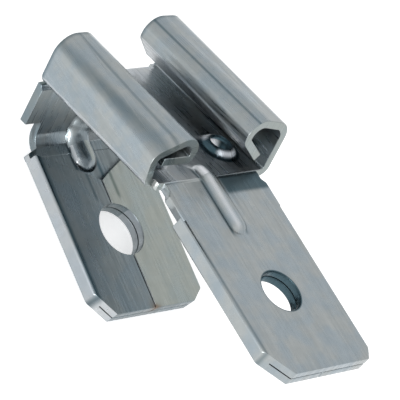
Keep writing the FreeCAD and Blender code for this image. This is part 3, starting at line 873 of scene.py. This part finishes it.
class TinPlate:
    """The strip's material: tin plate with streaks, painted shade and highlights, a stain and bare
    cut edges.
    """

    def __init__(self, finish: TinFinish, marks: StripMarks) -> None:
        """Start the material.

        Args:
            finish: the colours and the grain.
            marks: where the marks lie.
        """
        self.finish = finish
        self.marks = marks
        self.material = bpy.data.materials.new("tin_plate")
        self.material.use_nodes = True
        self.sheet = NodeSheet(self.material.node_tree)
        self.bands = soft_band()
        self.place = self._attribute("strip_place", "Vector")
        split = self.sheet.node("ShaderNodeSeparateXYZ")
        self.sheet.put(split.inputs[0], self.place)
        self.across, self.along, self.girth = split.outputs
        self.around = self.sheet.node("ShaderNodeTexCoord").outputs["Object"]

    def _attribute(self, name: str, output: str) -> bpy.types.NodeSocket:
        """Read an attribute of the mesh."""
        return self.sheet.node("ShaderNodeAttribute", attribute_name=name).outputs[output]

    def build(self) -> bpy.types.Material:
        """Fill in the material.

        Returns:
            The finished material.
        """
        sheet, finish = self.sheet, self.finish
        shader = self.material.node_tree.nodes["Principled BSDF"]
        streaks = drawn_streaks()
        fine, broad = (
            streaks.place_in(sheet, Place=self.place, Fineness=fineness).outputs["Mask"]
            for fineness in (finish.fine_grain, finish.broad_grain)
        )
        clouds = sheet.noise(self.around, finish.cloud_scale, detail=3.0)
        mottle = sheet.noise(self.around, finish.mottle_scale, detail=2.0)

        # Colour, from the plate up to its marks
        warmth = sheet.ramp(clouds, *finish.hue_span)
        hue = sheet.mix(warmth, (*finish.cool, 1), (*finish.warm, 1))
        base = sheet.mix(finish.tin_share, hue, (*finish.tin, 1))
        streaked = sheet.math("MULTIPLY", sheet.math("ADD", fine, broad), finish.streak_depth / 2)
        specks = sheet.ramp(mottle, *finish.speck_span, 0.0, finish.speck_depth)
        # Tarnish and painted shade together: grain and specks, the painted dark lines and rounds,
        # and the painted shade at the front bend
        tarnish_and_shade = self._cover(
            self._attribute("tarnish_and_shade", "Fac"),
            streaked,
            specks,
            self._dark_lines(broad),
            self._dark_rounds(),
            self._bend_shade(),
        )
        # Painted highlight and sheen from the per-face share
        colour = sheet.mix(self._attribute("painted_sheen", "Fac"), base, (*finish.highlight_white, 1))
        colour = sheet.mix(tarnish_and_shade, colour, (*finish.deep, 1))
        colour = sheet.mix(self._attribute("bare", "Fac"), colour, (*finish.bare_brass, 1))
        # Painted highlights and glints: blended towards white and made less metallic, so that they
        # stay bright
        painted_sheen = self._cover(self._bright_lines(), self._bright_rims())
        colour = sheet.mix(painted_sheen, colour, (*finish.highlight_white, 1))
        sheet.put(shader.inputs["Metallic"], sheet.math("MULTIPLY_ADD", painted_sheen, -finish.frost, 1.0))
        sheet.put(shader.inputs["Base Color"], self._stained(colour, mottle))

        # Roughness and fine relief
        wear = sheet.math("MULTIPLY", sheet.math("ADD", fine, clouds), 0.5)
        rough = sheet.ramp(wear, *finish.wear_span, finish.roughness_low, finish.roughness_high)
        sheet.put(shader.inputs["Roughness"], rough)
        bump = sheet.node("ShaderNodeBump")
        bump.inputs["Strength"].default_value = finish.bump_strength
        bump.inputs["Distance"].default_value = finish.bump_height
        sheet.put(bump.inputs["Height"], sheet.math("MULTIPLY_ADD", clouds, finish.cloud_bump, fine))
        sheet.put(shader.inputs["Normal"], bump.outputs["Normal"])
        return self.material

    def _cover(self, *shares: bpy.types.NodeSocket) -> bpy.types.NodeSocket:
        """Lay shares over each other: what is left open is the product of what each leaves.

        Args:
            shares: what each mark covers, from 0 to 1.

        Returns:
            What they cover together.
        """
        sheet = self.sheet
        open_part = 1.0
        for share in shares:
            open_part = sheet.math("MULTIPLY", open_part, sheet.math("SUBTRACT", 1.0, share))
        return sheet.math("SUBTRACT", 1.0, open_part, clamp=True)

    def _line(self, value: object, mark: LineMark) -> bpy.types.NodeSocket:
        """One soft line where a value meets the mark's centre."""
        band = self.bands.place_in(self.sheet, Value=value, Centre=mark.centre, Width=mark.width)
        return self.sheet.math("MULTIPLY", band.outputs["Mask"], mark.share)

    def _within(self, stretch: tuple[float, float], soft: float) -> bpy.types.NodeSocket:
        """Mask one stretch of the strip.

        Args:
            stretch: where it starts and ends along the strip.
            soft: half the length over which each end fades.

        Returns:
            1 inside the stretch and 0 outside it.
        """
        start, end = stretch
        begun = self.sheet.ramp(self.along, start - soft, start + soft)
        open_yet = self.sheet.ramp(self.along, end - soft, end + soft, 1.0, 0.0)
        return self.sheet.math("MULTIPLY", begun, open_yet)

    def _lines_within(
        self, stretches: dict[tuple[float, float], tuple[LineMark, ...]]
    ) -> list[bpy.types.NodeSocket]:
        """Draw lines along the strip.

        Args:
            stretches: the lines of each stretch.

        Returns:
            One share per line.
        """
        lines = []
        for stretch, marks_here in stretches.items():
            inside = self._within(stretch, self.marks.stretch_soft)
            lines += [
                self.sheet.math("MULTIPLY", self._line(self.across, mark), inside)
                for mark in marks_here
            ]
        return lines

    def _dark_lines(self, broad: bpy.types.NodeSocket) -> bpy.types.NodeSocket:
        """Painted dark reflections on the rolls, dark lines along their rear ends, and painted shade
        beside both ribs and in the left folds.

        The painted reflection on the left roll's shoulder drifts round the roll towards its front
        end.

        Args:
            broad: the broad streaks, which break up the lines on the rolls.

        Returns:
            The lines' share.
        """
        sheet, marks = self.sheet, self.marks
        length = RECEPTACLE_LENGTH_MM
        forward = sheet.math("SUBTRACT", 1.0, sheet.math("DIVIDE", self.along, length))
        moving = sheet.math("MULTIPLY_ADD", forward, marks.left_roll_drift, self.girth)
        rolls = [self._line(moving, marks.left_roll_reflection)]
        rolls += [self._line(self.girth, mark) for mark in marks.roll_reflection_lines]
        ragged = sheet.ramp(broad, 0.0, 1.0, self.finish.ragged_low, 1.0)
        lines = [sheet.math("MULTIPLY", roll, ragged) for roll in rolls]
        on_ear = sheet.math("GREATER_THAN", self.across, EARS_FROM)
        lines.append(sheet.math("MULTIPLY", self._line(self.along, marks.ear_rear), on_ear))
        return self._cover(*lines, *self._lines_within(marks.painted_shade_stretches))

    def _bright_lines(self) -> bpy.types.NodeSocket:
        """The painted highlight along the upper rib."""
        return self._cover(*self._lines_within(self.marks.painted_highlight_stretches))

    def _reach(self, centre: tuple[float, float]) -> tuple[bpy.types.NodeSocket, ...]:
        """Distance from a place on the flat strip, and how much of it runs along the strip.

        Args:
            centre: the place, across and along.

        Returns:
            The distance, and the part of it along the strip from 0 to 1.
        """
        sheet = self.sheet
        aside = sheet.math("SUBTRACT", self.across, centre[0])
        ahead = sheet.math("SUBTRACT", self.along, centre[1])
        squares = sheet.math("MULTIPLY_ADD", aside, aside, sheet.math("MULTIPLY", ahead, ahead))
        reach = sheet.math("SQRT", squares)
        return reach, sheet.math("ABSOLUTE", sheet.math("DIVIDE", ahead, reach))

    def _dark_rounds(self) -> bpy.types.NodeSocket:
        """Paint shade on the wall of the upper tab's hole and over the right stop dimple.

        Returns:
            Their share.
        """
        rounds = []
        for mark in self.marks.painted_shade_rounds:
            reach, _ = self._reach(mark.centre)
            edge = mark.radius + mark.soft
            rounds.append(self.sheet.ramp(reach, mark.radius, edge, mark.share, 0.0))
        return self._cover(*rounds)

    def _bright_rims(self) -> bpy.types.NodeSocket:
        """Paint highlights on the front and rear rims of the right stop dimple, and a glint behind
        it.

        Returns:
            Their share.
        """
        sheet, marks = self.sheet, self.marks
        rims = []
        for mark in marks.painted_highlight_rims:
            reach, ahead = self._reach(mark.centre)
            rim = self._line(reach, LineMark(mark.radius, mark.soft, mark.share))
            rims.append(sheet.math("MULTIPLY", rim, sheet.ramp(ahead, *marks.rim_span)))
        across, along = marks.stop_glint
        wide, narrow = self._line(self.across, across), self._line(self.along, along)
        return self._cover(*rims, sheet.math("MULTIPLY", wide, narrow))

    def _bend_shade(self) -> bpy.types.NodeSocket:
        """Shade the front bend right of the rib, beside the dark channel behind it.

        Returns:
            The shade's share.
        """
        sheet, marks = self.sheet, self.marks
        right = sheet.ramp(self.across, *marks.shade_across)
        near = self._within(marks.shade_along, marks.shade_soft)
        return sheet.math("MULTIPLY", sheet.math("MULTIPLY", right, near), marks.bend_shade)

    def _stained(
        self, colour: bpy.types.NodeSocket, mottle: bpy.types.NodeSocket
    ) -> bpy.types.NodeSocket:
        """Lay a brown stain over the plate where the seam ends at the lower tab's tip.

        Args:
            colour: the colour of the plate.
            mottle: the noise that makes the stain ragged.

        Returns:
            The colour with the stain.
        """
        sheet, marks = self.sheet, self.marks
        stain = spot().place_in(
            sheet,
            Place=self.around,
            Centre=marks.stain_place,
            Radius=marks.stain_radius,
            Ragged=mottle,
        )
        amount = sheet.math("MULTIPLY", stain.outputs["Mask"], marks.stain_share)
        return sheet.mix(amount, colour, (*self.finish.stain, 1))


@dataclass(frozen=True)
class Viewpoint:
    """Where the photograph was taken from, as fitted to the part's own edges."""

    place: tuple[float, float, float] = (-0.11166, -0.03571, 0.10111)
    right: tuple[float, float, float] = (0.6658, -0.3880, 0.6374)
    down: tuple[float, float, float] = (-0.0987, -0.8924, -0.4402)
    lens: float = 315.0
    sensor: float = 36.0
    nearest: float = 0.005
    farthest: float = 5.0


@dataclass(frozen=True)
class SoftLamp:
    """A square lamp that looks at the part: its place, power in watts and side length."""

    name: str
    place: tuple[float, float, float]
    power: float
    size: float


@dataclass
class Studio:
    """White table and surroundings, soft lamps and the camera."""

    viewpoint: Viewpoint = field(default_factory=Viewpoint)
    lamps: tuple[SoftLamp, ...] = (
        SoftLamp("left_lamp", place=(-0.32, -0.12, 0.05), power=0.9, size=0.16),
    )
    table_half: float = 0.6
    table_white: float = 0.9
    table_glow: float = 0.58
    world_light: float = 0.75

    def build(self) -> None:
        """Set up everything round the part."""
        self._add_table()
        self._add_world()
        for lamp in self.lamps:
            self._add_lamp(lamp)
        self._add_camera()
        bpy.context.scene.view_settings.view_transform = "Standard"

    def _add_camera(self) -> None:
        """Set the camera where the photograph was taken."""
        lens = bpy.data.cameras.new("camera")
        lens.lens = self.viewpoint.lens
        lens.sensor_width = self.viewpoint.sensor
        lens.clip_start, lens.clip_end = self.viewpoint.nearest, self.viewpoint.farthest
        camera = bpy.data.objects.new("camera", lens)
        bpy.context.scene.collection.objects.link(camera)
        right = Vector(self.viewpoint.right).normalized()
        up = -Vector(self.viewpoint.down)
        up = (up - right * up.dot(right)).normalized()
        turn = Matrix((right, up, right.cross(up))).transposed()
        camera.matrix_world = Matrix.Translation(self.viewpoint.place) @ turn.to_4x4()
        bpy.context.scene.camera = camera

    @staticmethod
    def _seen_directly(sheet: NodeSheet) -> bpy.types.NodeSocket:
        """Tell the rays that see the background from those that only carry its light.

        Args:
            sheet: the nodes of the table or the world.

        Returns:
            1 for the camera's rays and for those that metal or glass sends on, 0 for others.
        """
        path = sheet.node("ShaderNodeLightPath")
        shiny = sheet.math(
            "MAXIMUM", path.outputs["Is Glossy Ray"], path.outputs["Is Transmission Ray"]
        )
        return sheet.math("MAXIMUM", path.outputs["Is Camera Ray"], shiny)

    def _add_table(self) -> None:
        """Lay a white table under the part, which glows for the rays that see it directly."""
        half = self.table_half
        mesh = bpy.data.meshes.new("table")
        corners = [(-half, -half, 0), (half, -half, 0), (half, half, 0), (-half, half, 0)]
        mesh.from_pydata(corners, [], [(0, 1, 2, 3)])
        table = bpy.data.objects.new("table", mesh)
        bpy.context.scene.collection.objects.link(table)
        material = bpy.data.materials.new("table_white")
        material.use_nodes = True
        sheet = NodeSheet(material.node_tree)
        shader = material.node_tree.nodes["Principled BSDF"]
        shader.inputs["Base Color"].default_value = (*[self.table_white] * 3, 1.0)
        shader.inputs["Roughness"].default_value = 1.0
        shader.inputs["Specular IOR Level"].default_value = 0.0
        glow = sheet.math("MULTIPLY", self._seen_directly(sheet), self.table_glow)
        shader.inputs["Emission Color"].default_value = (1.0, 1.0, 1.0, 1.0)
        sheet.put(shader.inputs["Emission Strength"], glow)
        mesh.materials.append(material)

    def _add_lamp(self, lamp: SoftLamp) -> None:
        """Hang one soft lamp and aim it at the part.

        Args:
            lamp: its place, power and size.
        """
        data = bpy.data.lights.new(lamp.name, "AREA")
        data.energy = lamp.power
        data.size = lamp.size
        made = bpy.data.objects.new(lamp.name, data)
        bpy.context.scene.collection.objects.link(made)
        made.location = lamp.place
        made.rotation_mode = "QUATERNION"
        made.rotation_quaternion = (-Vector(lamp.place)).to_track_quat("-Z", "Y")

    def _add_world(self) -> None:
        """Surround the scene with white, a little weaker for its own light."""
        world = bpy.data.worlds.new("studio")
        bpy.context.scene.world = world
        world.use_nodes = True
        sheet = NodeSheet(world.node_tree)
        background = world.node_tree.nodes["Background"]
        background.inputs["Color"].default_value = (1, 1, 1, 1)
        strength = sheet.ramp(self._seen_directly(sheet), 0.0, 1.0, self.world_light, 1.0)
        sheet.put(background.inputs["Strength"], strength)


def main() -> None:
    """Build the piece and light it."""
    logging.basicConfig(level=logging.INFO)
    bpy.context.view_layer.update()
    material = TinPlate(TinFinish(), StripMarks()).build()
    piece = FoldedStrip().build(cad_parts[NODE], material)
    LOG.info("%s has %d faces before its edges are rounded", piece.name, len(piece.data.polygons))
    Studio().build()


if __name__ == "__main__":
    main()
